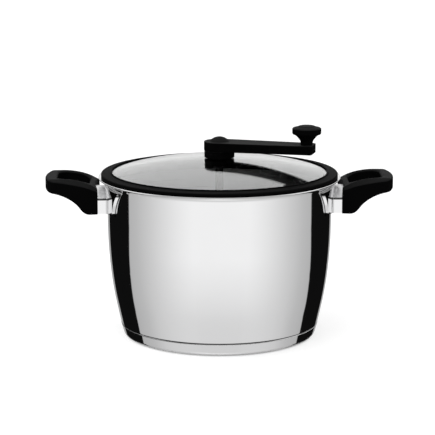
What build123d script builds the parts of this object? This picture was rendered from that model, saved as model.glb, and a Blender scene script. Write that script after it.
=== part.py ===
from build123d import *

import os
from math import cos, radians, sin, sqrt

# Stove-top popcorn pot: a stainless pot with two loop grips, a domed glass lid with a black rim,
# and a hand crank whose shaft turns a wiper on the floor of the pot.
# Millimetres, +Z up, origin at the centre of the base's underside. The grips lie along X.

# ---- Base -------------------------------------------------------------------------------------
BASE_SHEET = 0.5  # stainless cap round the aluminium disc
BASE_FLAT_R = 90.6  # the flat that stands on the hob
BASE_BEND = (96.2, 4.2)  # end of the cap's lower bend, as radius and height
BASE_RIM = (98.65, 12.3)  # the cap's upper edge, just under the seam
SEAM_Z = 13.0
SEAM_R = 98.6
SEAM_GROOVE = 0.55  # radius of the groove pressed in at the seam

# ---- Pot shell --------------------------------------------------------------------------------
WALL = 0.8
FOOT = (98.9, 14.8)  # where the floor's corner meets the barrel wall
FOOT_LEAN = 12  # degrees the wall leans outward there
CORNER_R = 11.0
BARREL = [(104.5, 41), (108.9, 73)]  # points on the swelling of the barrel
BARREL_R = 111.15  # widest radius of the barrel
BARREL_TOP = 125  # above this the wall is straight
FLARE_R = 5.5  # radius at mid-wall of the bend from the wall into the flat flange
LIP_R = 120.0
LIP_TOP = 160.0
LIP_BEAD = 0.65  # radius of the bead round the lip

# ---- Handle brackets --------------------------------------------------------------------------
WING_R = 114.0  # outer face of the wings that hug the wall
WELD_GAP = 0.15
NECK_R = 123.0  # where the neck ends and the grip starts
NECK_HALF = 28.0
NECK_BOTTOM = 127.0
NECK_SIDE_TOP = 141.0
NECK_TOP = 150.0  # crest of the crowned top
NECK_EDGE = 1.2  # rounding of the neck's creases
WING_TOP = 152.0
WING_LOW = (28, 127)  # seen along X, the wing's lower edge starts to climb here
WING_END = [(43, 129), (48.6, 143), (56, 152)]  # the wing's end, an arc up to the top
WING_CORNER = 5.0  # rounding of the end's lower corner
WING_PLAN = (80, 66)  # the plan is cut off here: X inside the wall, Y past the tips
NECK_BLEND = 9.0  # fillet between neck and wing
BLEND_SINK = 1.2  # how far inside the faces of both that fillet ends
BLEND_RISE = [(25.5, 139.5), (38, 151.5)]  # its top climbs outward along this line
SPIGOT = (24, 8, 1.2)  # tongue on the neck's end that keeps the grip square
SCREW_Z = 137.0
SCREW_R = 2.0
SCREW_LENGTH = 9.5  # depth of its hole in the neck
SCREW_HEAD_R = 3.9
SCREW_HEAD = 2.4
SCREW_SHANK = 11.5
SCREW_SINK = 2.2  # depth of the head's seat in the grip
DRIVE_SLOT = 0.9
POCKET_X = 118.0  # the neck is cored from below on both sides of the screw
POCKET_PITCH = 33.0
POCKET_SIZE = (6.5, 19)
POCKET_CORNER = 2.0
POCKET_DEPTH = 12.0

# ---- Grips ------------------------------------------------------------------------------------
GRIP_GAP = 0.1
GRIP_END = 172.2
# Crest of the side bars, as X, Z and how far the outer shoulder lies below it.
GRIP_TOP = [(118, 150.6, 12.0), (131, 157.4, 8.0), (146, 160.9, 6.0), (174, 161.2, 3.5)]
GRIP_TOP_SLOPE = 0.62
GRIP_UNDER = [(118, 126.0), (127, 126.0), (139, 134.4), (154, 144.6), (174, 148.2)]
GRIP_UNDER_SLOPE = 0.06
GRIP_HALF = 31.0  # widest half, midway along the side bars
GRIP_WIDEST_X = 146.0
GRIP_END_HALF = 29.5
SHOULDER_HALF = 33.0  # the outer shoulder's drop is given here, outside the side
GRIP_END_ARC = 85.0
GRIP_END_CORNER = 8.0
CREST_HALF = 26.4  # the crest of each side bar
HOLE_X = (128.8, 160.0)  # finger hole
HOLE_HALF = 23.0
HOLE_CORNER = 9.0
HOLE_EDGE = 2.6
CREST_EDGE = 1.5
GRIP_EDGE = 2.4
GRIP_BLANK = (117, 60)  # underside and height of the block that the plan is cut from

# ---- Lid --------------------------------------------------------------------------------------
GLASS_APEX = 178.0
GLASS_R = 412.0  # outer radius of the dome
GLASS_THICK = 4.0
GLASS_EDGE = 110.8
GLASS_HOLE = 6.9
GLASS_EDGE_ROUND = 1.2
FIT = 0.05  # clearance of pieces that are clamped or pushed together
RUN_GAP = 0.3  # gap between pieces of different bodies
RING_R = 117.25
RING_SIDE_TOP = 163.4
RING_INNER = 106.5
RING_INNER_TOP = 164.4
RING_EDGE = 1.2
SKIRT_INNER = 107.5
SKIRT_BOTTOM = 149.5

# ---- Bearing ----------------------------------------------------------------------------------
SHAFT_R = 4.0
SHAFT_CLEAR = 0.05  # radial clearance of the running fits
SEAL_THICK = 0.7
HOUSING_R = 14.9
HOUSING_TOP = 185.3
SHANK_R = 6.5
SHANK_BOTTOM = 167.6
SEAL_R = 13.0
LOWER_SEAL_R = 12.0
NUT_ACROSS = 21.5
NUT_THICK = 4.0
HOUSING_EDGE = 0.3

# ---- Crank ------------------------------------------------------------------------------------
CRANK_TURN = -15.8  # degrees about +Z at rest
ARM_BOTTOM = HOUSING_TOP + RUN_GAP
ARM_TOP = 194.5
ARM_HUB_R = 15.3
ARM_END_HALF = 11.6
ARM_LENGTH = 88.0  # shaft axis to knob axis
ARM_OVERHANG = 7.2
ARM_CORNER = 3.0
ARM_EDGE = 0.5
RIB = 2.2  # thickness of the arm's skin and of the ribs under it
ARM_RIBS = 4
SCREW_SEAT = 190.6  # floor of the recess under the hub cap
SHAFT_TOP = 188.8
RECESS_R = 6.2
HUB_CAP_R = 9.8
HUB_CAP_HEIGHT = 4.6
HUB_CAP_PLUG = 0.5
CAP_RIM = 0.6
WASHER_THICK = 0.8
SHAFT_SCREW_HEAD = 2.0
SHAFT_FLAT = 3.2  # half the width across the flats that the arm grips
GROOVE_R = 3.4
CLIP_R = 6.0
CLIP_TOP = SHANK_BOTTOM - RUN_GAP
CLIP_THICK = 1.0
CLIP_MOUTH = 5.8
SHAFT_BOTTOM = 11.0
STIRRER_HUB = (9.0, 12.0)  # radius and height
BLADE_THICK = 1.2
BLADE_HEIGHT = 14.0
BLADE_TIP = 88.0
BLADE_BOTTOM = 9.6
BLADE_BOW = 70.0  # radius of each blade's curve
BLADE_SWEEP = radians(25)  # angle of each blade's tip
BLADE_ROOT = SHAFT_R + 1.5

# ---- Knob -------------------------------------------------------------------------------------
KNOB_FOOT = ARM_TOP + RUN_GAP
KNOB_FOOT_R = 6.0
KNOB_WAIST = (6.0, 196.4)
KNOB_FLARE = [(7.2, 199.6), (9.2, 202.1), (13.5, 204.9)]  # radius and height up the outside
KNOB_RIM = [(14.2, 205.9), (14.2, 210.3), (13.3, 211.2)]
KNOB_TOP = 212.5
PIN_R = 3.0
PIN_HEAD = (5.5, 1.8)  # radius and thickness
PIN_SEAT = 206.9
PIN_BOTTOM = 186.4
PIN_WELL_R = 6.2
CAP_SEAT = 210.4
CAP_R = 8.6
CAP_TOP = 213.3
CAP_CREST_R = 6.2
CAP_DISH = 0.4

ON_BASE = (Align.CENTER, Align.CENTER, Align.MIN)  # a cylinder that stands on its location
ON_TOP = (Align.CENTER, Align.CENTER, Align.MAX)  # a cylinder that hangs from its location

os.makedirs("parts", exist_ok=True)


def save(piece, name):
    """Label a finished piece and write it as parts/NAME.step."""
    piece.label = name
    export_step(piece, f"parts/{name}.step")


def sphere_drop(radius, reach):
    """How far a sphere of this radius has fallen at this distance from its axis."""
    return radius - sqrt(radius**2 - reach**2)


# ---- Pot --------------------------------------------------------------------------------------
lean = radians(FOOT_LEAN)
corner_x = FOOT[0] - CORNER_R * cos(lean)
corner_z = FOOT[1] + CORNER_R * sin(lean)
floor_z = corner_z - CORNER_R  # underside of the pot's floor
lip_x = LIP_R - LIP_BEAD
lip_z = LIP_TOP - LIP_BEAD
flare_x = BARREL_R - WALL / 2 + FLARE_R  # centre of the bend
flare_z = lip_z - FLARE_R


def wall_line(inset):
    """Draw the pot's section from the axis to the lip, this far inside its outer face."""
    corner = CORNER_R - inset
    foot = (corner_x + corner * cos(lean), corner_z - corner * sin(lean))
    flare = FLARE_R - WALL / 2 + inset
    swell = [(r - inset, z) for r, z in BARREL]
    top = (BARREL_R - inset, BARREL_TOP)
    Line((0, floor_z + inset), (corner_x, floor_z + inset))
    CenterArc((corner_x, corner_z), corner, -90, 90 - FOOT_LEAN)
    Spline(foot, *swell, top, tangents=[(sin(lean), cos(lean)), (0, 1)])
    Line(top, (BARREL_R - inset, flare_z))
    CenterArc((flare_x, flare_z), flare, 180, -90)
    return Line((flare_x, flare_z + flare), (lip_x, flare_z + flare))


with BuildPart() as pot_shell:
    with BuildSketch(Plane.XZ):
        with BuildLine():
            outside = wall_line(0)
            inside = wall_line(WALL)
            Line((0, floor_z), (0, floor_z + WALL))
            Line(outside @ 1, inside @ 1)
        make_face()
        with Locations((lip_x, lip_z)):
            Circle(LIP_BEAD)
        with Locations((SEAM_R, SEAM_Z)):
            Circle(SEAM_GROOVE, mode=Mode.SUBTRACT)
    revolve(axis=Axis.Z)
save(pot_shell.part, "pot_shell")

with BuildPart() as base_cap:
    with BuildSketch(Plane.XZ):
        with BuildLine():
            bottom = Line((0, 0), (BASE_FLAT_R, 0))
            bend = TangentArc(bottom @ 1, BASE_BEND, tangent=bottom % 1)
            TangentArc(bend @ 1, BASE_RIM, tangent=bend % 1)
            offset(amount=BASE_SHEET, side=Side.LEFT)
        make_face()
    revolve(axis=Axis.Z)
save(base_cap.part, "base_cap")

with BuildPart() as base_core:
    with BuildSketch(Plane.XZ):
        with BuildLine():
            low = Line((0, BASE_SHEET), (BASE_FLAT_R, BASE_SHEET))
            bend = TangentArc(low @ 1, (BASE_BEND[0] - 1, BASE_BEND[1]), tangent=low % 1)
            Polyline(bend @ 1, (BASE_BEND[0] - 1, floor_z - 1), (corner_x, floor_z), (0, floor_z), low @ 0)
        make_face()
    revolve(axis=Axis.Z)
save(base_core.part, "base_core")

# The pot's outside as one solid, grown by the weld gap, to trim the brackets to the wall.
with BuildPart() as wall_tool:
    with BuildSketch(Plane.XZ):
        with BuildLine():
            outside = wall_line(-WELD_GAP)
            Polyline(outside @ 1, (0, lip_z), (0, floor_z - WELD_GAP))
        make_face()
    revolve(axis=Axis.Z)

# ---- Handle brackets --------------------------------------------------------------------------
def wing_plan(radius):
    """Draw the part of a disc of this radius that lies on the right, cut off inside the pot's wall."""
    Circle(radius)
    with Locations((WING_PLAN[0], 0)):
        Rectangle(WING_R, 2 * WING_PLAN[1], align=(Align.MIN, Align.CENTER), mode=Mode.INTERSECT)


with BuildPart() as neck_blend:
    with BuildSketch(Plane.XY.offset(NECK_BOTTOM)) as blend_plan:
        Rectangle(WING_R + NECK_BLEND / 2, 2 * (NECK_HALF - BLEND_SINK), align=(Align.MIN, Align.CENTER))
        wing_plan(WING_R - BLEND_SINK)
        inner_corners = blend_plan.vertices().filter_by(
            lambda v: abs(abs(v.Y) - NECK_HALF + BLEND_SINK) < 0.01 and WING_PLAN[0] < v.X < WING_R
        )
        fillet(inner_corners, NECK_BLEND)
    extrude(amount=WING_TOP - NECK_BOTTOM)
    with BuildSketch(Plane.YZ):
        with BuildLine():
            outer = WING_PLAN[1]
            Polyline((0, NECK_BOTTOM), (outer, NECK_BOTTOM), (outer, BLEND_RISE[1][1]), BLEND_RISE[1])
            Polyline(BLEND_RISE[1], BLEND_RISE[0], (0, BLEND_RISE[0][1]))
            mirror(about=Plane.YZ)
        make_face()
    extrude(amount=NECK_R, mode=Mode.INTERSECT)

with BuildPart() as right_bracket:
    with BuildSketch(Plane.YZ) as neck_section:
        with BuildLine():
            crown = ThreePointArc((-NECK_HALF, NECK_SIDE_TOP), (0, NECK_TOP), (NECK_HALF, NECK_SIDE_TOP))
            Polyline(crown @ 1, (NECK_HALF, NECK_BOTTOM), (-NECK_HALF, NECK_BOTTOM), crown @ 0)
        make_face()
        creases = neck_section.vertices().filter_by(lambda v: abs(v.Y - NECK_SIDE_TOP) < 0.01)
        fillet(creases, NECK_EDGE)
    extrude(amount=NECK_R)
    with BuildSketch(Plane.XY.offset(NECK_BOTTOM)):
        Circle(NECK_R)
    extrude(amount=WING_TOP - NECK_BOTTOM, mode=Mode.INTERSECT)
    add(neck_blend.part)
    with BuildSketch(Plane.XY.offset(NECK_BOTTOM)):
        wing_plan(WING_R)
    extrude(amount=WING_TOP - NECK_BOTTOM)
    with BuildSketch(Plane.YZ) as wing_outline:
        with BuildLine():
            Polyline((0, NECK_BOTTOM), WING_LOW, WING_END[0])
            ThreePointArc(*WING_END)
            Line(WING_END[-1], (0, WING_TOP))
            mirror(about=Plane.YZ)
        make_face()
        low_corners = wing_outline.vertices().filter_by(
            lambda v: abs(abs(v.X) - WING_END[0][0]) < 0.01
        )
        fillet(low_corners, WING_CORNER)
    extrude(amount=2 * NECK_R, both=True, mode=Mode.INTERSECT)
    add(wall_tool.part, mode=Mode.SUBTRACT)
    with BuildSketch(Plane.XY.offset(NECK_BOTTOM)):
        with GridLocations(0, POCKET_PITCH, 1, 2):
            with Locations((POCKET_X, 0)):
                RectangleRounded(*POCKET_SIZE, POCKET_CORNER)
    extrude(amount=POCKET_DEPTH, mode=Mode.SUBTRACT)
    with BuildSketch(Plane.YZ.offset(NECK_R - SPIGOT[2])):
        with Locations((0, SCREW_Z)):
            SlotOverall(SPIGOT[0], SPIGOT[1])
    extrude(amount=2 * SPIGOT[2])
    with Locations(Plane.YZ.offset(NECK_R + SPIGOT[2])):
        with Locations((0, SCREW_Z)):
            Hole(SCREW_R + FIT, depth=SCREW_LENGTH)
save(right_bracket.part, "right_bracket")
save(mirror(right_bracket.part, about=Plane.YZ), "left_bracket")

# ---- Grips ------------------------------------------------------------------------------------
def side_outline(drop):
    """Draw a grip's section in a plane of constant Y, with its top lowered towards the neck."""
    top = [(x, z - drop * sag) for x, z, sag in GRIP_TOP]
    crest = Spline(*top, tangents=[(1, GRIP_TOP_SLOPE), (1, 0)])
    under = Spline(*GRIP_UNDER[1:], tangents=[(1, 0), (1, GRIP_UNDER_SLOPE)])
    Polyline(crest @ 0, GRIP_UNDER[0], under @ 0)
    Line(under @ 1, crest @ 1)


with BuildPart() as right_grip:
    for half, drop in ((-SHOULDER_HALF, 1), (-CREST_HALF, 0), (CREST_HALF, 0), (SHOULDER_HALF, 1)):
        with BuildSketch(Plane.XZ.offset(half)):
            with BuildLine():
                side_outline(drop)
            make_face()
    loft(ruled=True)
    with BuildSketch(Plane.XY.offset(GRIP_BLANK[0])) as grip_plan:
        with BuildLine():
            inner_r = NECK_R + GRIP_GAP
            inner_x = sqrt(inner_r**2 - NECK_HALF**2)
            corner_reach = GRIP_END - sphere_drop(GRIP_END_ARC, GRIP_END_HALF)
            heel = ThreePointArc((inner_x, -NECK_HALF), (inner_r, 0), (inner_x, NECK_HALF))
            end_half = GRIP_END_HALF
            end = ThreePointArc((corner_reach, -end_half), (GRIP_END, 0), (corner_reach, end_half))
            ThreePointArc(heel @ 0, (GRIP_WIDEST_X, -GRIP_HALF), end @ 0)
            ThreePointArc(heel @ 1, (GRIP_WIDEST_X, GRIP_HALF), end @ 1)
        make_face()
        fillet(grip_plan.vertices().sort_by(Axis.X)[-2:], GRIP_END_CORNER)
        with Locations((sum(HOLE_X) / 2, 0)):
            RectangleRounded(HOLE_X[1] - HOLE_X[0], 2 * HOLE_HALF, HOLE_CORNER, mode=Mode.SUBTRACT)
    extrude(amount=GRIP_BLANK[1], mode=Mode.INTERSECT)
    level_edges = right_grip.edges().filter_by(Axis.Z, reverse=True)
    rims = level_edges.filter_by_position(Axis.X, *HOLE_X).filter_by_position(Axis.Y, -HOLE_HALF, HOLE_HALF)
    fillet(rims, HOLE_EDGE)
    high_edges = right_grip.edges().filter_by(lambda e: e.length > CREST_HALF and (e @ 0.5).Z > NECK_TOP)
    crests = high_edges.filter_by(lambda e: abs(abs((e @ 0.5).Y) - CREST_HALF) < 0.01)
    fillet(crests, CREST_EDGE)
    level_edges = right_grip.edges().filter_by(Axis.Z, reverse=True)
    skin = level_edges.filter_by(
        lambda e: abs((e @ 0.5).Y) > NECK_HALF + 1 or (e @ 0.5).X > (GRIP_END + HOLE_X[1]) / 2
    )
    fillet(skin, GRIP_EDGE)
    with BuildSketch(Plane.YZ.offset(NECK_R - SPIGOT[2])):
        with Locations((0, SCREW_Z)):
            SlotOverall(SPIGOT[0] + 2 * FIT, SPIGOT[1] + 2 * FIT)
    extrude(amount=2 * SPIGOT[2] + GRIP_GAP, mode=Mode.SUBTRACT)
    with Locations(Plane.YZ.offset(HOLE_X[0])):
        with Locations((0, SCREW_Z)):
            CounterBoreHole(SCREW_R + FIT, SCREW_HEAD_R + 2 * FIT, SCREW_SINK)
save(right_grip.part, "right_grip")
save(mirror(right_grip.part, about=Plane.YZ), "left_grip")

with BuildPart() as right_grip_screw:
    with Locations(Plane.YZ.offset(HOLE_X[0] - SCREW_SINK)):
        with Locations((0, SCREW_Z)):
            Cylinder(SCREW_HEAD_R, SCREW_HEAD, align=ON_BASE)
            Cylinder(SCREW_R, SCREW_SHANK, align=ON_TOP)
    head_rim = right_grip_screw.edges().filter_by(GeomType.CIRCLE).sort_by(Axis.X)[-1]
    fillet(head_rim, SCREW_HEAD / 2)
    with BuildSketch(Plane.YZ.offset(HOLE_X[0] - SCREW_SINK + SCREW_HEAD / 2)):
        with Locations((0, SCREW_Z)):
            Rectangle(SCREW_HEAD_R, DRIVE_SLOT)
            Rectangle(DRIVE_SLOT, SCREW_HEAD_R)
    extrude(amount=SCREW_HEAD, mode=Mode.SUBTRACT)
save(right_grip_screw.part, "right_grip_screw")
save(mirror(right_grip_screw.part, about=Plane.YZ), "left_grip_screw")

# ---- Lid --------------------------------------------------------------------------------------
dome_z = GLASS_APEX - GLASS_R  # centre of the dome's sphere


def dome_band(inner, outer, grow=0.0):
    """Draw the glass's section between two distances from the axis, grown on both faces."""
    faces = []
    for radius in (GLASS_R + grow, GLASS_R - GLASS_THICK - grow):
        points = []
        for reach in (inner, (inner + outer) / 2, outer):
            points.append((reach, dome_z + sqrt(radius**2 - reach**2)))
        faces.append(ThreePointArc(*points))
    Line(faces[0] @ 0, faces[1] @ 0)
    Line(faces[0] @ 1, faces[1] @ 1)


with BuildPart() as lid_glass:
    with BuildSketch(Plane.XZ):
        with BuildLine():
            dome_band(GLASS_HOLE, GLASS_EDGE)
        make_face()
    revolve(axis=Axis.Z)
    rims = lid_glass.edges().filter_by(GeomType.CIRCLE).filter_by(lambda e: e.radius > RING_INNER)
    fillet(rims, GLASS_EDGE_ROUND)
save(lid_glass.part, "lid_glass")

seat_r = FLARE_R + WALL / 2 + RUN_GAP  # the ring follows the bend at this radius from its centre
seat_z = flare_z + seat_r

with BuildPart() as lid_ring:
    with BuildSketch(Plane.XZ) as ring_section:
        with BuildLine():
            CenterArc((flare_x, flare_z), seat_r, 180, -90)
            Line((flare_x, seat_z), (RING_R, seat_z))
            Polyline(
                (flare_x - seat_r, flare_z),
                (flare_x - seat_r, SKIRT_BOTTOM),
                (SKIRT_INNER, SKIRT_BOTTOM),
                (SKIRT_INNER, GLASS_APEX - GLASS_THICK - sphere_drop(GLASS_R, SKIRT_INNER)),
                (RING_INNER, GLASS_APEX - sphere_drop(GLASS_R, RING_INNER)),
                (RING_INNER, RING_INNER_TOP),
                (RING_R, RING_SIDE_TOP),
                (RING_R, seat_z),
            )
        make_face()
        rim = ring_section.vertices().filter_by(lambda v: v.X > RING_R - 0.01 and v.Y > seat_z + 1)
        fillet(rim, RING_EDGE)
    revolve(axis=Axis.Z)
    with BuildSketch(Plane.XZ):
        with BuildLine():
            dome_band(RING_INNER - RING_EDGE, GLASS_EDGE + FIT, FIT)
        make_face()
    revolve(axis=Axis.Z, mode=Mode.SUBTRACT)
save(lid_ring.part, "lid_ring")

# ---- Bearing in the lid -----------------------------------------------------------------------
seal_top = GLASS_APEX + SEAL_THICK
seal_bottom = dome_z + sqrt((GLASS_R - GLASS_THICK) ** 2 - LOWER_SEAL_R**2) - SEAL_THICK

with BuildPart() as upper_seal:
    with BuildSketch(Plane.XZ):
        with BuildLine():
            glass_side = RadiusArc(
                (GLASS_HOLE, dome_z + sqrt(GLASS_R**2 - GLASS_HOLE**2) + FIT),
                (SEAL_R, dome_z + sqrt(GLASS_R**2 - SEAL_R**2) + FIT),
                GLASS_R,
            )
            Polyline(glass_side @ 1, (SEAL_R, seal_top), (GLASS_HOLE, seal_top), glass_side @ 0)
        make_face()
    revolve(axis=Axis.Z)
save(upper_seal.part, "upper_seal")

with BuildPart() as lower_seal:
    with BuildSketch(Plane.XZ):
        with BuildLine():
            inner_r = GLASS_R - GLASS_THICK
            glass_side = RadiusArc(
                (GLASS_HOLE, dome_z + sqrt(inner_r**2 - GLASS_HOLE**2) - FIT),
                (LOWER_SEAL_R, dome_z + sqrt(inner_r**2 - LOWER_SEAL_R**2) - FIT),
                inner_r,
            )
            Polyline(glass_side @ 1, (LOWER_SEAL_R, seal_bottom), (GLASS_HOLE, seal_bottom), glass_side @ 0)
        make_face()
    revolve(axis=Axis.Z)
save(lower_seal.part, "lower_seal")

with BuildPart() as bearing_housing:
    with Locations((0, 0, seal_top)):
        Cylinder(HOUSING_R, HOUSING_TOP - seal_top, align=ON_BASE)
    fillet(bearing_housing.edges().filter_by(GeomType.CIRCLE), HOUSING_EDGE)
    with Locations((0, 0, SHANK_BOTTOM)):
        Cylinder(SHANK_R, HOUSING_TOP - SHANK_BOTTOM - 1, align=ON_BASE)
    chamfer(bearing_housing.edges().filter_by(GeomType.CIRCLE).sort_by(Axis.Z)[0], HOUSING_EDGE)
    with Locations((0, 0, HOUSING_TOP)):
        Hole(SHAFT_R + SHAFT_CLEAR)
save(bearing_housing.part, "bearing_housing")

with BuildPart() as bearing_nut:
    with BuildSketch(Plane.XY.offset(seal_bottom - NUT_THICK)):
        RegularPolygon(NUT_ACROSS / 2, 6, major_radius=False)
        Circle(SHANK_R + FIT, mode=Mode.SUBTRACT)
    extrude(amount=NUT_THICK)
    with BuildSketch(Plane.XZ):
        with BuildLine():
            Polyline(
                (0, seal_bottom),
                (LOWER_SEAL_R, seal_bottom),
                (LOWER_SEAL_R, seal_bottom - NUT_THICK / 2),
                (NUT_ACROSS / 2, seal_bottom - NUT_THICK),
                (0, seal_bottom - NUT_THICK),
                close=True,
            )
        make_face()
    revolve(axis=Axis.Z, mode=Mode.INTERSECT)
save(bearing_nut.part, "bearing_nut")

# ---- Crank ------------------------------------------------------------------------------------
def crank_plane(height):
    """A level plane whose X runs along the crank arm at rest."""
    turn = radians(CRANK_TURN)
    return Plane(origin=(0, 0, height), x_dir=(cos(turn), sin(turn), 0), z_dir=(0, 0, 1))


def arm_outline(inset):
    """Draw the arm's plan: a round hub and a square end with rounded corners, joined by a taper."""
    Circle(ARM_HUB_R - inset)
    end = ARM_LENGTH + ARM_OVERHANG - inset
    with Locations((end - ARM_END_HALF, 0)):
        RectangleRounded(2 * ARM_END_HALF, 2 * (ARM_END_HALF - inset), ARM_CORNER)
    make_hull()


with BuildPart() as crank_arm:
    with BuildSketch(crank_plane(ARM_BOTTOM)):
        arm_outline(0)
    extrude(amount=ARM_TOP - ARM_BOTTOM)
    fillet(crank_arm.faces().sort_by(Axis.Z)[-1].edges(), ARM_EDGE)
    fillet(crank_arm.faces().sort_by(Axis.Z)[0].edges(), ARM_EDGE)
    with BuildSketch(crank_plane(ARM_BOTTOM)):
        arm_outline(RIB)
        Circle(ARM_HUB_R - RIB, mode=Mode.SUBTRACT)
        with Locations((ARM_LENGTH, 0)):
            Circle(KNOB_FOOT_R + RIB, mode=Mode.SUBTRACT)
        Rectangle(2 * ARM_LENGTH, RIB, mode=Mode.SUBTRACT)
        with Locations([(ARM_LENGTH * step / ARM_RIBS, 0) for step in range(1, ARM_RIBS + 1)]):
            Rectangle(RIB, 2 * ARM_HUB_R, mode=Mode.SUBTRACT)
    extrude(amount=ARM_TOP - ARM_BOTTOM - RIB, mode=Mode.SUBTRACT)
    with BuildSketch(crank_plane(ARM_BOTTOM)):
        Circle(SHAFT_R + FIT)
        Rectangle(4 * SHAFT_R, 2 * (SHAFT_FLAT + FIT), mode=Mode.INTERSECT)
    extrude(amount=SHAFT_TOP - ARM_BOTTOM, mode=Mode.SUBTRACT)
    with Locations((0, 0, ARM_TOP)):
        CounterBoreHole(SCREW_R + FIT, RECESS_R, ARM_TOP - SCREW_SEAT)
    with Locations(crank_plane(ARM_TOP)):
        with Locations((ARM_LENGTH, 0)):
            Hole(PIN_R + FIT)
save(crank_arm.part, "crank_arm")

with BuildPart() as hub_cap:
    with BuildSketch(Plane.XZ):
        with BuildLine():
            rim_z = ARM_TOP + FIT + CAP_RIM
            crown = ThreePointArc(
                (-HUB_CAP_R + CAP_RIM, rim_z), (0, ARM_TOP + HUB_CAP_HEIGHT), (HUB_CAP_R - CAP_RIM, rim_z)
            )
            Line(crown @ 1, (HUB_CAP_R, ARM_TOP + FIT))
            Line(crown @ 0, (-HUB_CAP_R, ARM_TOP + FIT))
            Line((-HUB_CAP_R, ARM_TOP + FIT), (HUB_CAP_R, ARM_TOP + FIT))
        make_face()
        Rectangle(HUB_CAP_R, 4 * ARM_TOP, align=(Align.MIN, Align.CENTER), mode=Mode.INTERSECT)
    revolve(axis=Axis.Z)
    with Locations((0, 0, ARM_TOP + FIT)):
        Cylinder(RECESS_R - FIT, HUB_CAP_PLUG, align=ON_TOP)
save(hub_cap.part, "hub_cap")

with BuildPart() as shaft_washer:
    with BuildSketch(Plane.XY.offset(SCREW_SEAT)):
        Circle(RECESS_R - 1)
        Circle(SCREW_R + FIT, mode=Mode.SUBTRACT)
    extrude(amount=WASHER_THICK)
save(shaft_washer.part, "shaft_washer")

with BuildPart() as shaft_screw:
    with Locations((0, 0, SCREW_SEAT + WASHER_THICK)):
        Cylinder(SCREW_HEAD_R, SHAFT_SCREW_HEAD, align=ON_BASE)
        Cylinder(SCREW_R, SCREW_SHANK, align=ON_TOP)
    chamfer(shaft_screw.edges().filter_by(GeomType.CIRCLE).sort_by(Axis.Z)[-1], SHAFT_SCREW_HEAD / 4)
save(shaft_screw.part, "shaft_screw")

with BuildPart() as stirrer_shaft:
    with Locations((0, 0, SHAFT_BOTTOM)):
        Cylinder(SHAFT_R, SHAFT_TOP - SHAFT_BOTTOM, align=ON_BASE)
    with BuildSketch(crank_plane(ARM_BOTTOM)):
        Circle(2 * SHAFT_R)
        Rectangle(4 * SHAFT_R, 2 * SHAFT_FLAT, mode=Mode.SUBTRACT)
    extrude(amount=SHAFT_TOP - ARM_BOTTOM, mode=Mode.SUBTRACT)
    with BuildSketch(Plane.XY.offset(CLIP_TOP - CLIP_THICK - FIT)):
        Circle(2 * SHAFT_R)
        Circle(GROOVE_R, mode=Mode.SUBTRACT)
    extrude(amount=CLIP_THICK + 2 * FIT, mode=Mode.SUBTRACT)
    with Locations((0, 0, SHAFT_TOP)):
        Hole(SCREW_R + FIT, depth=SCREW_SHANK)
    chamfer(stirrer_shaft.edges().filter_by(GeomType.CIRCLE).sort_by(Axis.Z)[0], SHAFT_R / 6)
save(stirrer_shaft.part, "stirrer_shaft")

with BuildPart() as retaining_clip:
    with BuildSketch(Plane.XY.offset(CLIP_TOP - CLIP_THICK)):
        Circle(CLIP_R)
        Circle(GROOVE_R + FIT, mode=Mode.SUBTRACT)
        Rectangle(CLIP_R, CLIP_MOUTH, align=(Align.MIN, Align.CENTER), mode=Mode.SUBTRACT)
    extrude(amount=CLIP_THICK)
save(retaining_clip.part, "retaining_clip")

# ---- Stirrer ----------------------------------------------------------------------------------
with BuildPart() as stirrer_blades:
    with BuildSketch(Plane.XY.offset(BLADE_BOTTOM)):
        with BuildLine():
            tip = (BLADE_TIP * cos(BLADE_SWEEP), BLADE_TIP * sin(BLADE_SWEEP))
            for side in (1, -1):
                RadiusArc((side * BLADE_ROOT, 0), (side * tip[0], side * tip[1]), BLADE_BOW)
        trace(line_width=BLADE_THICK)
    extrude(amount=BLADE_HEIGHT)
save(stirrer_blades.part, "stirrer_blades")

with BuildPart() as stirrer_hub:
    with Locations((0, 0, SHAFT_BOTTOM)):
        Cylinder(STIRRER_HUB[0], STIRRER_HUB[1], align=ON_BASE)
    fillet(stirrer_hub.edges().filter_by(GeomType.CIRCLE), HOUSING_EDGE)
    Hole(SHAFT_R + FIT)
    add(stirrer_blades.part, mode=Mode.SUBTRACT)
save(stirrer_hub.part, "stirrer_hub")

# ---- Knob -------------------------------------------------------------------------------------
knob_axis = crank_plane(0).from_local_coords((ARM_LENGTH, 0, 0))
knob_plane = Plane(origin=knob_axis, x_dir=(1, 0, 0), z_dir=(0, -1, 0))  # radius along X, height along Y
knob_line = Axis(knob_axis, (0, 0, 1))

with BuildPart() as knob_pin:
    with Locations(knob_axis):
        with Locations((0, 0, PIN_BOTTOM)):
            Cylinder(PIN_R, PIN_SEAT - PIN_BOTTOM + PIN_HEAD[1], align=ON_BASE)
        with Locations((0, 0, PIN_SEAT + RUN_GAP)):
            Cylinder(*PIN_HEAD, align=ON_BASE)
    chamfer(knob_pin.edges().filter_by(GeomType.CIRCLE).sort_by(Axis.Z)[-1], PIN_R / 6)
save(knob_pin.part, "knob_pin")

with BuildPart() as crank_knob:
    with BuildSketch(knob_plane):
        with BuildLine():
            bore_r = PIN_R + SHAFT_CLEAR
            Polyline((bore_r, KNOB_FOOT), (KNOB_FOOT_R, KNOB_FOOT), KNOB_WAIST)
            Spline(KNOB_WAIST, *KNOB_FLARE, tangents=[(0, 1), (1, 0.3)])
            Polyline(
                KNOB_FLARE[-1],
                *KNOB_RIM,
                (CAP_R + FIT, KNOB_TOP),
                (CAP_R + FIT, CAP_SEAT),
                (PIN_WELL_R, CAP_SEAT),
                (PIN_WELL_R, PIN_SEAT),
                (bore_r, PIN_SEAT),
                (bore_r, KNOB_FOOT),
            )
        make_face()
    revolve(axis=knob_line)
save(crank_knob.part, "crank_knob")

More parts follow.
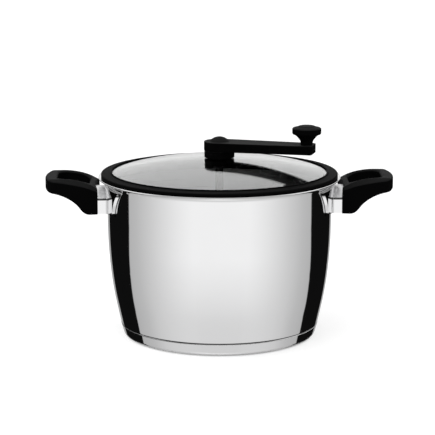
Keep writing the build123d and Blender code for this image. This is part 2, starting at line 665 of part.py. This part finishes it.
with BuildPart() as knob_cap:
    with BuildSketch(knob_plane):
        with BuildLine():
            dish = (0, CAP_TOP - CAP_DISH)
            Polyline(dish, (0, CAP_SEAT + FIT), (CAP_R, CAP_SEAT + FIT), (CAP_R, KNOB_TOP))
            Spline((CAP_R, KNOB_TOP), (CAP_CREST_R, CAP_TOP), dish, tangents=[(-1, 0.8), (-1, 0)])
        make_face()
    revolve(axis=knob_line)
save(knob_cap.part, "knob_cap")
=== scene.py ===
from math import cos, radians, sin

import bpy
from bpy.props import FloatProperty, FloatVectorProperty, PointerProperty
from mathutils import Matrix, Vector


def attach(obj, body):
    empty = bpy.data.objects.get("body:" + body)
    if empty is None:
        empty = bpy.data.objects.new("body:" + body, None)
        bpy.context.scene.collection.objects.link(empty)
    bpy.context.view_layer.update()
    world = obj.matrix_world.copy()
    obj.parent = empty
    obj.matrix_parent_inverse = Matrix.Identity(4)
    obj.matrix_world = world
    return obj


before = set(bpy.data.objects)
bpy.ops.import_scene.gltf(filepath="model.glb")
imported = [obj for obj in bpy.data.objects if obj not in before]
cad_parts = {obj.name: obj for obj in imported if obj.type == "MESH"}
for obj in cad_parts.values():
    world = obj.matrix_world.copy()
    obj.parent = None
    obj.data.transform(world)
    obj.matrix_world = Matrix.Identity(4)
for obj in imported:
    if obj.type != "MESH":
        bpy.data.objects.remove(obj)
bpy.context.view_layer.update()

bl_info = {
    "name": "Popcorn Pot Finishes",
    "version": (1, 0, 0),
    "blender": (4, 5, 0),
    "location": "3D View > Sidebar > Popcorn Pot",
    "description": "Finishes and a studio for a stove-top popcorn pot",
    "category": "Material",
}

# ---- Places on the pot --------------------------------------------------------------------------
# In metres, with heights over the base's underside.
INSIDE_TOP = 0.15  # the turned inside of the wall ends here
FLOOR_TOP = 0.05  # the floor inside lies below this height
SEAM = (0.0129, 0.014)  # heights between which the foot's seam lies in shadow
SEAM_RADIUS = 0.09  # the seam lies outside this radius
WING_HEIGHTS = (0.127, 0.151)  # heights between which the wings of a bracket end
WING_FOOT = (0.043, 0.129)  # where the arc of a wing's end starts: out from the X axis, and up
WING_ARC = (0.143, 18.4)  # how far the arc runs out: by its height, and by the square of its height
WING_SHADOW = (-0.001, 0.0018)  # the shadow line along the arc, measured outward from it
NECK_RIDGE = (0.1406, 0.1421)  # heights of the rounded edge along each side of a bracket's neck
NECK_SIDE = 0.026  # that edge lies farther than this from the X axis
NECK_START = 0.109  # and farther than this from the Y axis
FAN_HEADING = radians(120)  # the painted highlight fans of the turned inside point in this direction and the opposite one

# ---- Tones --------------------------------------------------------------------------------------
SEAM_TONE = 0.05  # how light a shadow line on the pot is, as a share of the steel's colour
RIDGE_TONE = 0.08  # the same on a bracket
FAN_TONE = 0.15  # painted shade between the painted highlight fans of the turned inside, as a share of the steel's colour
GROUND_TONE = 0.62  # the stirrer
SHAFT_TONE = 0.1  # painted shade: the shaft and its clip are painted far darker than the stirrer
TURNED_TONES = (0.6, 0.72)  # the screws, between their turning marks and on them
SILICONE = (0.002, 0.002, 0.0021)
LIGHTER_TOP_SILICONE = (0.0055, 0.0055, 0.0057)
SHEEN_AND_DUST = 0.009  # painted sheen and dust: how much lighter the top of a moulding is painted than its sides
ALUMINIUM = ((0.6, 0.6, 0.61), (0.72, 0.72, 0.73))
MOULDING_SHEEN = 0.02  # how strongly the black pieces mirror: very little, so that they stay black
SILICONE_SHEEN = 0.012
GLASS_IOR = 2.05  # above that of plain glass, so that the lid mirrors the bright surroundings

# ---- Studio sizes -------------------------------------------------------------------------------
BEAD_SEGMENTS = (192, 16)  # round the rim, and round the bead
FLOOR_HALF = 12  # half the length of the floor's sides
FLOOR_LIT = 0.62  # share of the floor's colour that the light falls on
FLOOR_GLOW = 0.6  # how strongly the floor glows for the camera, so that only the shadow shows on it
LAMP_PLACE = (-0.4, -0.5, 1.6)
LAMP_AIM = (0, 0, 0.1)
LAMP_WIDTH = 1.4
SCREEN_TURN = radians(1.2)  # how far the screens stand turned from the camera's bearing
SCREEN_SPILL = 0.005  # the light that comes off the dark screens
LEAN_FROM = 0.2158  # rays that fall more steeply than this meet the leaning foot of the screens
LEAN = 0.9


# ---- Shader maths -------------------------------------------------------------------------------
class Value:
    """An output socket. Arithmetic on it adds the Math nodes, for numbers only."""

    def __init__(self, graph, socket):
        self.graph = graph
        self.socket = socket

    def out(self, name):
        """Another output of the same node."""
        return Value(self.graph, self.socket.node.outputs[name])

    def math(self, operation, *operands):
        """A Math node, with these numbers or sockets on its inputs."""
        return self.graph.add("ShaderNodeMath", {"operation": operation}, dict(enumerate(operands)))

    def __add__(self, other):
        return self.math("ADD", self, other)

    def __radd__(self, other):
        return self.math("ADD", other, self)

    def __sub__(self, other):
        return self.math("SUBTRACT", self, other)

    def __rsub__(self, other):
        return self.math("SUBTRACT", other, self)

    def __mul__(self, other):
        return self.math("MULTIPLY", self, other)

    def __rmul__(self, other):
        return self.math("MULTIPLY", other, self)

    def __truediv__(self, other):
        return self.math("DIVIDE", self, other)

    def __pow__(self, other):
        return self.math("POWER", self, other)

    def __lt__(self, other):
        return self.math("LESS_THAN", self, other)

    def __gt__(self, other):
        return self.math("GREATER_THAN", self, other)

    def __abs__(self):
        return self.math("ABSOLUTE", self)

    def between(self, limits):
        """1 where the number lies between two limits, and 0 elsewhere."""
        low, high = limits
        return (self > low) * (self < high)

    def either(self, other):
        """The larger of two numbers."""
        return self.math("MAXIMUM", self, other)


class Graph:
    """The node tree of a material or of the world."""

    def __init__(self, owner):
        owner.use_nodes = True
        self.tree = owner.node_tree
        self.tree.nodes.clear()

    def add(self, kind, settings=None, values=None):
        """Add a node: first its settings, then a value or a link for each socket, by name or number."""
        node = self.tree.nodes.new(kind)
        for name, setting in (settings or {}).items():
            if name == "stops":
                self.write_stops(node.color_ramp, setting)
            else:
                setattr(node, name, setting)
        for key, value in (values or {}).items():
            if isinstance(key, int):
                socket = node.inputs[key]
            else:
                socket = next(s for s in node.inputs if s.enabled and s.name == key)
            if isinstance(value, Value):
                self.tree.links.new(value.socket, socket)
            elif socket.type == "RGBA":
                socket.default_value = (*value[:3], 1)
            else:
                socket.default_value = value
        outputs = [s for s in node.outputs if s.enabled]
        return Value(self, outputs[0]) if outputs else None

    def write_stops(self, ramp, stops):
        """Write a grey ramp's stops, given as pairs of position and level."""
        while len(ramp.elements) < len(stops):
            ramp.elements.new(1)
        for element, (position, level) in zip(ramp.elements, stops):
            element.position = position
            element.color = (level, level, level, 1)

    def levels(self, number, stops):
        """Look a number from 0 to 1 up in a list of stops."""
        return self.add("ShaderNodeValToRGB", {"stops": stops}, {"Fac": number})

    def blend(self, mask, colour_a, colour_b):
        """Mix two colours by a mask."""
        return self.add("ShaderNodeMix", {"data_type": "RGBA"}, {0: mask, 6: colour_a, 7: colour_b})

    def lerp(self, mask, a, b):
        """Mix two numbers by a mask."""
        return self.add("ShaderNodeMix", {"data_type": "FLOAT"}, {0: mask, 2: a, 3: b})

    def split(self, vector):
        """The three parts of a vector."""
        parts = self.add("ShaderNodeSeparateXYZ", None, {"Vector": vector})
        return parts.out("X"), parts.out("Y"), parts.out("Z")

    def join(self, x, y, z):
        """A vector from its three parts."""
        return self.add("ShaderNodeCombineXYZ", None, {"X": x, "Y": y, "Z": z})

    def place(self):
        """Where the shaded point is, in metres."""
        return self.add("ShaderNodeTexCoord").out("Object")

    def facing(self):
        """Which way the surface faces."""
        return self.add("ShaderNodeTexCoord").out("Normal")

    def noise(self, vector, scale, detail=2.0):
        """Smooth noise round 0.5, at this many cells to the metre."""
        return self.add("ShaderNodeTexNoise", None, {"Vector": vector, "Scale": scale, "Detail": detail})

    def grooves(self, x, y, z, cells):
        """Noise drawn out into fine lines, with this many cells to the metre along each axis."""
        stretched = self.join(x * cells[0], y * cells[1], z * cells[2])
        return self.noise(stretched, scale=1.0, detail=3.0)

    def bump(self, height, strength, distance):
        """A normal bumped by a height from 0 to 1 that stands for this distance in metres."""
        values = {"Height": height, "Strength": strength, "Distance": distance}
        return self.add("ShaderNodeBump", None, values)

    def principled(self, values):
        """End the graph in a Principled shader."""
        shader = self.add("ShaderNodeBsdfPrincipled", None, values)
        self.add("ShaderNodeOutputMaterial", None, {"Surface": shader})


def new_graph(name):
    """A new material and its empty graph."""
    material = bpy.data.materials.new(name)
    return material, Graph(material)


def dress(material, *nodes):
    """Give a material to CAD nodes."""
    for name in nodes:
        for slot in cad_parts[name].material_slots:
            slot.material = material


def toned(colour, tone):
    """A colour at a share of its brightness."""
    return [tone * part for part in colour]


def polish(graph, steel):
    """The colour and the roughness of polished steel, a little hazy in patches."""
    hazy = graph.noise(graph.place(), scale=38)
    colour = graph.blend(hazy * 0.5, steel.tint, toned(steel.tint, 0.96))
    return colour, steel.polish * (0.8 + hazy * 0.5)


# ---- Settings -----------------------------------------------------------------------------------
class PopcornPotSteel(bpy.types.PropertyGroup):
    """Finishes of the stainless pieces."""

    tint: FloatVectorProperty(
        name="Steel",
        description="Colour of the stainless steel",
        subtype="COLOR",
        size=3,
        min=0,
        max=1,
        default=(0.87, 0.87, 0.875),
    )
    polish: FloatProperty(
        name="Polish",
        description="Roughness of the polished outside",
        default=0.035,
        min=0,
        max=1,
        subtype="FACTOR",
    )
    satin: FloatProperty(
        name="Satin",
        description="Roughness of the turned inside, the shaft and the stirrer",
        default=0.3,
        min=0,
        max=1,
        subtype="FACTOR",
    )


class PopcornPotMouldings(bpy.types.PropertyGroup):
    """Finishes of the black pieces and the glass."""

    black: FloatVectorProperty(
        name="Black",
        description="Colour of the black mouldings",
        subtype="COLOR",
        size=3,
        min=0,
        max=1,
        default=(0.0015, 0.0015, 0.0016),
    )
    roughness: FloatProperty(
        name="Roughness",
        description="Roughness of the black mouldings",
        default=0.55,
        min=0,
        max=1,
        subtype="FACTOR",
    )
    grain: FloatProperty(
        name="Grain",
        description="Size of the spark-eroded grain on the mouldings",
        default=0.0004,
        min=0.0001,
        max=0.002,
        unit="LENGTH",
    )
    glass: FloatVectorProperty(
        name="Glass",
        description="Colour that the glass lends to what is under it",
        subtype="COLOR",
        size=3,
        min=0,
        max=1,
        default=(0.97, 0.985, 0.98),
    )


class PopcornPotLid(bpy.types.PropertyGroup):
    """The bead that closes the gap between the lid's rim and its glass."""

    bead_radius: FloatProperty(
        name="Bead Radius",
        description="Radius of the circle along the rim's inner edge that the bead follows",
        default=0.1073,
        subtype="DISTANCE",
    )
    bead_thickness: FloatProperty(
        name="Bead Thickness",
        description="Thickness of the bead",
        default=0.0018,
        subtype="DISTANCE",
    )
    bead_height: FloatProperty(
        name="Bead Height",
        description="Height of the bead's centre line, just over the rim's inner edge",
        default=0.1645,
        subtype="DISTANCE",
    )


class PopcornPotStudio(bpy.types.PropertyGroup):
    """The floor, the light and the camera."""

    floor: FloatVectorProperty(
        name="Floor",
        description="Colour of the floor",
        subtype="COLOR",
        size=3,
        min=0,
        max=1,
        default=(0.9, 0.9, 0.9),
    )
    bearing: FloatProperty(
        name="Bearing",
        description="Direction of the camera from the pot, seen from above",
        default=radians(-91.3),
        subtype="ANGLE",
    )
    distance: FloatProperty(
        name="Distance",
        description="Level distance from the pot's axis to the camera",
        default=1.869,
        min=0.5,
        unit="LENGTH",
    )
    height: FloatProperty(
        name="Height",
        description="Height of the camera",
        default=0.4965,
        min=0,
        unit="LENGTH",
    )
    aim: FloatVectorProperty(
        name="Aim",
        description="Point that the camera looks at",
        subtype="XYZ",
        unit="LENGTH",
        size=3,
        default=(-0.0019, 0, 0.1173),
    )
    lens: FloatProperty(
        name="Lens",
        description="Focal length in millimetres",
        default=158.4,
        min=10,
    )
    lamp: FloatProperty(
        name="Lamp",
        description="Power of the soft overhead lamp",
        default=9,
        min=0,
        unit="POWER",
    )


# ---- Finishes -----------------------------------------------------------------------------------
class POPCORN_OT_polished_steel(bpy.types.Operator):
    """Polish the outside of the pot and its base, turn the inside, and leave the foot's edge matt"""

    bl_idname = "popcorn.polished_steel"
    bl_label = "Polished Steel"

    def execute(self, context):
        steel = context.scene.popcorn_steel
        material, graph = new_graph("polished_steel")
        x, y, z = graph.split(graph.place())
        nx, ny, nz = graph.split(graph.facing())
        radius = (x * x + y * y) ** 0.5
        wall = (x * nx + y * ny < 0) * (z < INSIDE_TOP)
        floor = (nz > 0.5) * (z < FLOOR_TOP)
        inside = wall.either(floor)
        foot = graph.levels(z * 100, [(0.22, 1.0), (0.36, 0.0)])  # matt up to 2.2 mm, polished from 3.6
        turned = graph.grooves(x, y, radius + z, cells=(14, 14, 1600))
        seam = z.between(SEAM) * (radius > SEAM_RADIUS)
        beside = self.wing_line(y, z) * (1.0 - inside)
        # Painted shade: the inside is painted dark outside two painted highlight fans
        painted_fan_shade = inside * graph.levels(self.fans(x, y, radius), [(0.1, 1.0), (0.7, 0.0)])
        polished, smooth = polish(graph, steel)
        colour = graph.blend(painted_fan_shade, polished, toned(steel.tint, FAN_TONE))
        rough = steel.satin * (0.75 + turned * 0.5)
        graph.principled(
            {
                "Base Color": graph.blend(seam.either(beside), colour, toned(steel.tint, SEAM_TONE)),
                "Metallic": 1.0 - (inside * 0.6).either(foot),
                "Roughness": graph.lerp(inside.either(foot), smooth, rough),
                "Normal": graph.bump(turned * inside, strength=0.3, distance=0.00003),
            }
        )
        dress(material, "pot_shell", "base_cap")
        return {"FINISHED"}

    def wing_line(self, y, z):
        """1 on the wall along the end of each wing, where the gap under it lies in shadow."""
        climb = z - WING_FOOT[1]
        out = WING_FOOT[0] + climb * WING_ARC[0] + climb * climb * WING_ARC[1]
        return (abs(y) - out).between(WING_SHADOW) * z.between(WING_HEIGHTS)

    def fans(self, x, y, radius):
        """Two painted highlight fans on the turned inside: 1 along their middle, and 0 square to it."""
        double_cos = (x * x - y * y) / (radius * radius)
        double_sin = x * y * 2 / (radius * radius)
        return 0.5 + (double_cos * cos(2 * FAN_HEADING) + double_sin * sin(2 * FAN_HEADING)) * 0.5


class POPCORN_OT_bracket_steel(bpy.types.Operator):
    """Polish the brackets, with satin tops and the shadow line along each side of their necks"""

    bl_idname = "popcorn.bracket_steel"
    bl_label = "Bracket Steel"

    def execute(self, context):
        steel = context.scene.popcorn_steel
        material, graph = new_graph("bracket_steel")
        x, y, z = graph.split(graph.place())
        crown = graph.levels(graph.split(graph.facing())[2], [(0.3, 0.0), (0.5, 1.0)])
        ridge = z.between(NECK_RIDGE) * (abs(y) > NECK_SIDE) * (abs(x) > NECK_START)
        polished, smooth = polish(graph, steel)
        graph.principled(
            {
                "Base Color": graph.blend(ridge, polished, toned(steel.tint, RIDGE_TONE)),
                "Metallic": 1.0 - crown * 0.5,
                "Roughness": graph.lerp(crown, smooth, steel.satin),
            }
        )
        dress(material, "left_bracket", "right_bracket")
        return {"FINISHED"}


class POPCORN_OT_satin_steel(bpy.types.Operator):
    """Give the stirrer a ground satin finish, and the shaft and its clip the same finish with painted
    shade, far darker
    """

    bl_idname = "popcorn.satin_steel"
    bl_label = "Satin Steel"

    def execute(self, context):
        steel = context.scene.popcorn_steel
        self.grind(steel, "satin_steel", GROUND_TONE, ("stirrer_hub", "stirrer_blades"))
        # Painted shade: the shaft and its clip get the stirrer's steel painted far darker
        self.grind(steel, "painted_shade_satin_steel", SHAFT_TONE, ("stirrer_shaft", "retaining_clip"))
        return {"FINISHED"}

    def grind(self, steel, name, tone, nodes):
        """Give nodes a ground finish, at this share of the steel's colour and a little lighter."""
        material, graph = new_graph(name)
        x, y, z = graph.split(graph.place())
        ground = graph.grooves(x, y, z, cells=(60, 60, 2600))
        darker = toned(steel.tint, tone)
        lighter = toned(steel.tint, tone * 1.3)
        graph.principled(
            {
                "Base Color": graph.blend(ground, darker, lighter),
                "Metallic": 1.0,
                "Roughness": steel.satin * (0.8 + ground * 0.5),
                "Normal": graph.bump(ground, strength=0.25, distance=0.00002),
            }
        )
        dress(material, *nodes)


class POPCORN_OT_fasteners(bpy.types.Operator):
    """Finish the screws, washer and pin as bright turned steel"""

    bl_idname = "popcorn.fasteners"
    bl_label = "Fasteners"

    def execute(self, context):
        steel = context.scene.popcorn_steel
        material, graph = new_graph("turned_steel")
        marks = graph.noise(graph.place(), scale=2200, detail=3.0)
        off_marks, on_marks = (toned(steel.tint, tone) for tone in TURNED_TONES)
        graph.principled(
            {
                "Base Color": graph.blend(marks, off_marks, on_marks),
                "Metallic": 1.0,
                "Roughness": 0.2 + marks * 0.16,
                "Normal": graph.bump(marks, strength=0.15, distance=0.00002),
            }
        )
        dress(material, "left_grip_screw", "right_grip_screw", "shaft_screw", "shaft_washer", "knob_pin")
        return {"FINISHED"}


class POPCORN_OT_mouldings(bpy.types.Operator):
    """Finish the grips, crank, knob and bearing as black heat-resistant mouldings with a fine grain"""

    bl_idname = "popcorn.mouldings"
    bl_label = "Black Mouldings"

    def execute(self, context):
        moulding = context.scene.popcorn_mouldings
        material, graph = new_graph("black_moulding")
        place = graph.place()
        grain = graph.noise(place, scale=1 / moulding.grain)
        cloud = graph.noise(place, scale=55, detail=3.0)
        # Painted sheen and dust: faces that look up are painted lighter than the sides, in clouds
        up = graph.split(graph.facing())[2] * 0.5 + 0.5
        painted_sheen_and_dust = graph.levels(up, [(0.6, 0.0), (0.72, 0.8), (0.95, 1.0)]) * (0.6 + cloud * 0.8)
        sheen_and_dust_black = [part + SHEEN_AND_DUST for part in moulding.black]
        graph.principled(
            {
                "Base Color": graph.blend(painted_sheen_and_dust, moulding.black, sheen_and_dust_black),
                "Roughness": moulding.roughness * (0.8 + grain * 0.25 + cloud * 0.2),
                "Specular IOR Level": MOULDING_SHEEN,
                "Normal": graph.bump(grain, strength=0.22, distance=0.00005),
            }
        )
        dress(
            material,
            "left_grip",
            "right_grip",
            "bearing_housing",
            "bearing_nut",
            "crank_arm",
            "hub_cap",
            "crank_knob",
            "knob_cap",
        )
        return {"FINISHED"}


class POPCORN_OT_silicone(bpy.types.Operator):
    """Finish the lid's rim and the seals as black silicone"""

    bl_idname = "popcorn.silicone"
    bl_label = "Silicone"

    def execute(self, context):
        material, graph = new_graph("black_silicone")
        place = graph.place()
        grain = graph.noise(place, scale=1500)
        # Faces that look up are lighter, in specks
        up = graph.split(graph.facing())[2] * 0.5 + 0.5
        speck_noise = graph.noise(place, scale=420, detail=4.0)
        specks = graph.levels(speck_noise, [(0.0, 0.7), (0.62, 0.8), (0.8, 1.0)])
        lighter_top = graph.levels(up, [(0.6, 0.0), (0.8, 1.0)]) * specks
        graph.principled(
            {
                "Base Color": graph.blend(lighter_top, SILICONE, LIGHTER_TOP_SILICONE),
                "Roughness": 0.5 + grain * 0.16,
                "Specular IOR Level": SILICONE_SHEEN,
                "Normal": graph.bump(grain, strength=0.2, distance=0.00006),
            }
        )
        dress(material, "lid_ring", "upper_seal", "lower_seal")
        return {"FINISHED"}


class POPCORN_OT_rim_bead(bpy.types.Operator):
    """Roll a thin silicone bead along the rim's inner edge, where the rim lies on the glass"""

    bl_idname = "popcorn.rim_bead"
    bl_label = "Rim Bead"

    def execute(self, context):
        lid = context.scene.popcorn_lid
        bpy.ops.mesh.primitive_torus_add(
            location=(0, 0, lid.bead_height),
            major_radius=lid.bead_radius,
            minor_radius=lid.bead_thickness / 2,
            major_segments=BEAD_SEGMENTS[0],
            minor_segments=BEAD_SEGMENTS[1],
        )
        bead = context.object
        bead.name = "lid_rim_bead"
        bpy.ops.object.transform_apply(location=True, rotation=False, scale=False)
        bpy.ops.object.shade_smooth()
        bead.data.materials.append(bpy.data.materials["black_silicone"])
        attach(bead, "lid")
        return {"FINISHED"}


class POPCORN_OT_lid_glass(bpy.types.Operator):
    """Make the lid clear tempered glass"""

    bl_idname = "popcorn.lid_glass"
    bl_label = "Lid Glass"

    def execute(self, context):
        moulding = context.scene.popcorn_mouldings
        material, graph = new_graph("lid_glass")
        wiped = graph.noise(graph.place(), scale=30, detail=3.0)
        graph.principled(
            {
                "Base Color": moulding.glass,
                "Roughness": graph.levels(wiped, [(0.0, 0.0), (0.5, 0.0), (1.0, 0.02)]),
                "IOR": GLASS_IOR,
                "Transmission Weight": 1.0,
            }
        )
        dress(material, "lid_glass")
        return {"FINISHED"}


class POPCORN_OT_core(bpy.types.Operator):
    """Finish the heat-spreading disc as rolled aluminium"""

    bl_idname = "popcorn.core"
    bl_label = "Aluminium Core"

    def execute(self, context):
        material, graph = new_graph("rolled_aluminium")
        x, y, z = graph.split(graph.place())
        rolled = graph.grooves(x, y, z, cells=(30, 900, 30))
        graph.principled(
            {
                "Base Color": graph.blend(rolled, *ALUMINIUM),
                "Metallic": 1.0,
                "Roughness": 0.3 + rolled * 0.2,
                "Normal": graph.bump(rolled, strength=0.2, distance=0.00003),
            }
        )
        dress(material, "base_core")
        return {"FINISHED"}


# ---- Studio -------------------------------------------------------------------------------------
class POPCORN_OT_studio(bpy.types.Operator):
    """Set up the pale floor, the surroundings that the steel reflects, a soft lamp and the camera"""

    bl_idname = "popcorn.studio"
    bl_label = "Studio"

    def execute(self, context):
        scene = context.scene
        studio = scene.popcorn_studio
        self.lay_floor(studio)
        self.write_surroundings(scene, studio)
        self.hang_lamp(studio)
        self.stand_camera(scene, studio)
        scene.view_settings.view_transform = "Standard"
        return {"FINISHED"}

    def lay_floor(self, studio):
        """Lay a wide floor that shows white but for the pot's shadow."""
        mesh = bpy.data.meshes.new("floor")
        corners = [(x * FLOOR_HALF, y * FLOOR_HALF, 0) for x, y in ((-1, -1), (1, -1), (1, 1), (-1, 1))]
        mesh.from_pydata(corners, [], [(0, 1, 2, 3)])
        floor = bpy.data.objects.new("floor", mesh)
        bpy.context.scene.collection.objects.link(floor)
        floor.visible_glossy = False
        material, graph = new_graph("pale_floor")
        seen = graph.add("ShaderNodeLightPath").out("Is Camera Ray")
        plain = graph.add("ShaderNodeBsdfDiffuse", None, {"Color": toned(studio.floor, FLOOR_LIT)})
        glowing = {"Color": studio.floor, "Strength": seen * FLOOR_GLOW}
        glow = graph.add("ShaderNodeEmission", None, glowing)
        lit = graph.add("ShaderNodeAddShader", None, {0: plain, 1: glow})
        graph.add("ShaderNodeOutputMaterial", None, {"Surface": lit})
        mesh.materials.append(material)

    def write_surroundings(self, scene, studio):
        """The world is plain white, but for what the steel and glass mirror: two dark screens beside the
        pot, and light that falls off to the sides, towards the ground and low behind the pot."""
        world = bpy.data.worlds.new("surroundings")
        scene.world = world
        graph = Graph(world)
        ray = graph.add("ShaderNodeTexCoord").out("Generated")
        x, y, z = graph.split(ray)
        heading = studio.bearing + SCREEN_TURN
        towards = (x * cos(heading) + y * sin(heading)) / ((1.0 - z * z).either(0.0001) ** 0.5)
        turn = towards * 0.5 + 0.5  # 1 towards the camera, and 0 away from it
        rise = z * 0.5 + 0.5  # 1 straight up, 0.5 level and 0 straight down

        # What the walls mirror lies below level: light that falls off sideways and towards the ground.
        sides = graph.levels(
            turn,
            [
                (0.0, 0.42),
                (0.035, 0.4),
                (0.3, 0.48),
                (0.363, 0.51),
                (0.456, 0.55),
                (0.625, 0.68),
                (0.761, 0.81),
                (0.872, 0.93),
                (0.94, 1.0),
            ],
        )
        ground = graph.levels(
            rise,
            [
                (0.0, 1.0),
                (0.05, 0.9),
                (0.08, 0.71),
                (0.14, 0.7),
                (0.2, 0.77),
                (0.33, 0.97),
                (0.35, 1.0),
            ],
        )
        middle = graph.levels(turn, [(0.6, 0.0), (0.95, 1.0)])
        leaned = turn * (1.0 + (-LEAN_FROM - z).either(0.0) * LEAN)
        screens = graph.levels(leaned, [(0.035, 0.0), (0.039, 1.0), (0.351, 1.0), (0.363, 0.0)])
        low = sides * (1.0 - (1.0 - ground) * middle) * (1.0 - screens) + SCREEN_SPILL

        # What the lid mirrors lies above level: it is bright behind the pot and overhead.
        raised = graph.levels(rise, [(0.43, 0.0), (0.45, 1.0)])
        above = graph.levels(rise, [(0.44, 0.8), (0.52, 0.86), (0.6, 0.95), (0.8, 1.0)])
        clear = graph.levels(rise, [(0.55, 0.0), (0.7, 1.0)])
        behind = graph.levels(turn, [(0.62, 1.0), (0.75, 0.04)])
        high = graph.levels(rise, [(0.84, 0.0), (0.92, 1.0)])
        overhead = above * (1.0 - screens * (1.0 - clear)) * behind.either(high)
        pattern = graph.lerp(raised, low, overhead)

        glossy = graph.add("ShaderNodeLightPath").out("Is Glossy Ray")
        strength = graph.lerp(glossy, 1.0, pattern)
        light = graph.add("ShaderNodeBackground", None, {"Color": (1, 1, 1), "Strength": strength})
        graph.add("ShaderNodeOutputWorld", None, {"Surface": light})

    def hang_lamp(self, studio):
        """Hang a wide round lamp over the pot, which the steel doesn't mirror."""
        light = bpy.data.lights.new("soft_lamp", "AREA")
        light.shape = "DISK"
        light.size = LAMP_WIDTH
        light.energy = studio.lamp
        lamp = bpy.data.objects.new("soft_lamp", light)
        lamp.location = LAMP_PLACE
        self.point(lamp, LAMP_AIM)
        lamp.visible_glossy = False
        lamp.visible_camera = False
        bpy.context.scene.collection.objects.link(lamp)

    def stand_camera(self, scene, studio):
        """Stand the camera at its bearing, and make it the scene's."""
        data = bpy.data.cameras.new("camera")
        data.lens = studio.lens
        data.clip_end = 50
        camera = bpy.data.objects.new("camera", data)
        reach = studio.distance
        camera.location = (reach * cos(studio.bearing), reach * sin(studio.bearing), studio.height)
        self.point(camera, studio.aim)
        scene.collection.objects.link(camera)
        scene.camera = camera

    def point(self, thing, target):
        """Turn a lamp or camera towards a point."""
        thing.rotation_euler = (Vector(target) - thing.location).to_track_quat("-Z", "Y").to_euler()


# ---- Panel and running --------------------------------------------------------------------------
OPERATORS = (
    POPCORN_OT_polished_steel,
    POPCORN_OT_bracket_steel,
    POPCORN_OT_satin_steel,
    POPCORN_OT_fasteners,
    POPCORN_OT_mouldings,
    POPCORN_OT_silicone,
    POPCORN_OT_rim_bead,
    POPCORN_OT_lid_glass,
    POPCORN_OT_core,
    POPCORN_OT_studio,
)

GROUPS = {
    "popcorn_steel": PopcornPotSteel,
    "popcorn_mouldings": PopcornPotMouldings,
    "popcorn_lid": PopcornPotLid,
    "popcorn_studio": PopcornPotStudio,
}


class POPCORN_PT_finishes(bpy.types.Panel):
    """The pot's finishes, in the sidebar"""

    bl_idname = "POPCORN_PT_finishes"
    bl_label = "Popcorn Pot"
    bl_space_type = "VIEW_3D"
    bl_region_type = "UI"
    bl_category = "Popcorn Pot"

    def draw(self, context):
        scene = context.scene
        for group in (getattr(scene, name) for name in GROUPS):
            box = self.layout.box()
            for name in group.bl_rna.properties.keys():
                if name not in ("rna_type", "name"):
                    box.prop(group, name)
        for operator in OPERATORS:
            self.layout.operator(operator.bl_idname)


def register():
    for name, group in GROUPS.items():
        bpy.utils.register_class(group)
        setattr(bpy.types.Scene, name, PointerProperty(type=group))
    for operator in OPERATORS:
        bpy.utils.register_class(operator)
    bpy.utils.register_class(POPCORN_PT_finishes)


def unregister():
    bpy.utils.unregister_class(POPCORN_PT_finishes)
    for operator in reversed(OPERATORS):
        bpy.utils.unregister_class(operator)
    for name, group in reversed(GROUPS.items()):
        delattr(bpy.types.Scene, name)
        bpy.utils.unregister_class(group)


def main():
    register()
    bpy.ops.popcorn.polished_steel()
    bpy.ops.popcorn.bracket_steel()
    bpy.ops.popcorn.satin_steel()
    bpy.ops.popcorn.fasteners()
    bpy.ops.popcorn.mouldings()
    bpy.ops.popcorn.silicone()
    bpy.ops.popcorn.rim_bead()
    bpy.ops.popcorn.lid_glass()
    bpy.ops.popcorn.core()
    bpy.ops.popcorn.studio()


if __name__ == "__main__":
    main()
